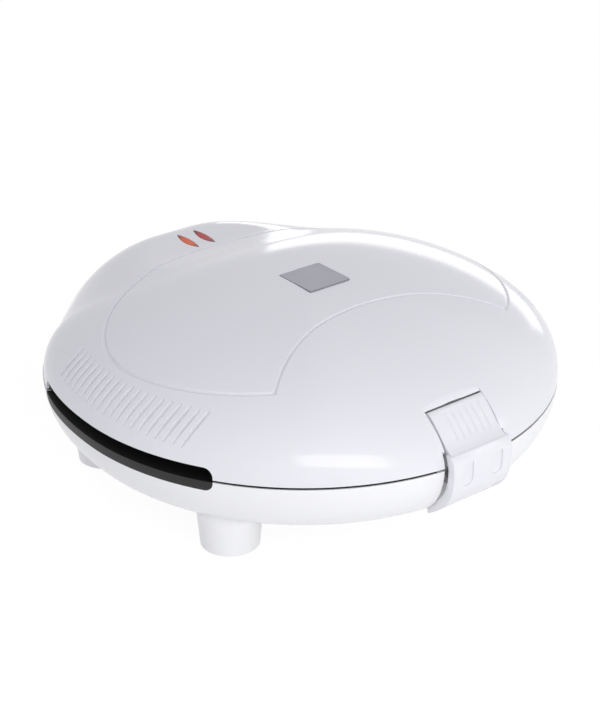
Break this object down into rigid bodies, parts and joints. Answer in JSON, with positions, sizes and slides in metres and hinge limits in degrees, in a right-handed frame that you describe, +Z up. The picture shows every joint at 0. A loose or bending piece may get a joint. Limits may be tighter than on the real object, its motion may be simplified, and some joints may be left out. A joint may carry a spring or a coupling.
{
  "type": "sandwich maker",
  "caption": "Round countertop sandwich maker with a domed hinged lid, ribbed front latch, finger grips, two signal lamps and cut triangle plates.",
  "frame": {"origin": "centre of the bounding box on the table, under the middle of the round housing", "axes": "+Y from the latch at the front to the hinge at the rear, +Z up, +X to the right seen from the front"},
  "size_m": [0.252, 0.26, 0.0976],
  "materials": {
    "white_plastic": "satin",
    "base_plastic": "satin",
    "dark_plastic": "matt",
    "bezel_plastic": "matt",
    "coated_aluminium": "non-stick coated",
    "chrome_trim": "polished",
    "sheet_steel": "plain",
    "pin_steel": "turned",
    "zinc_screws": "zinc plated",
    "spring_steel": "drawn wire",
    "heater_steel": "heat darkened",
    "amber_lens": "clear",
    "red_lens": "clear",
    "lamp_glass": "clear",
    "foot_rubber": "matt",
    "ceramic": "matt",
    "fibreglass_sleeve": "woven",
    "grey_plastic": "matt"
  },
  "bodies": {
    "base": {"base_shell": "base_plastic", "foot_pad_front_left": "foot_rubber", "foot_pad_rear_left": "foot_rubber", "foot_pad_front_right": "foot_rubber", "foot_pad_rear_right": "foot_rubber", "lower_grip_left": "dark_plastic", "lower_grip_right": "dark_plastic", "lower_plate": "coated_aluminium", "lower_ring": "bezel_plastic", "lower_heater": "heater_steel", "lower_heater_clamps": "sheet_steel", "lower_reflector": "sheet_steel", "thermostat": "ceramic", "thermal_fuse": "ceramic", "terminal_block": "ceramic", "lower_ring_screws": "zinc_screws", "lower_plate_screws": "zinc_screws", "hinge_pin_left": "pin_steel", "hinge_pin_right": "pin_steel", "cord_gland": "grey_plastic", "base_leads": "fibreglass_sleeve"},
    "lid": {"lid_shell": "white_plastic", "badge_plate": "chrome_trim", "lamp_lens_amber": "amber_lens", "lamp_lens_red": "red_lens", "lamp_holder": "dark_plastic", "neon_lamps": "lamp_glass", "upper_grip_left": "dark_plastic", "upper_grip_right": "dark_plastic", "upper_plate": "coated_aluminium", "upper_ring": "bezel_plastic", "upper_heater": "heater_steel", "upper_heater_clamps": "sheet_steel", "upper_reflector": "sheet_steel", "upper_ring_screws": "zinc_screws", "upper_plate_screws": "zinc_screws", "lid_leads": "fibreglass_sleeve", "link_lead_sleeve": "fibreglass_sleeve", "latch_pin": "pin_steel", "latch_spring": "spring_steel"},
    "latch": {"latch": "white_plastic"}
  },
  "joints": [
    {"name": "lid_hinge", "type": "hinge", "parent": "base", "child": "lid", "pos_m": [0, 0.118, 0.052], "axis": [-1, 0, 0], "range_deg": [0, 100]},
    {"name": "latch_rocker", "type": "hinge", "parent": "lid", "child": "latch", "pos_m": [0, -0.1175, 0.0545], "axis": [-1, 0, 0], "range_deg": [0, 10], "stiffness_Nm_per_rad": 0.4}
  ]
}
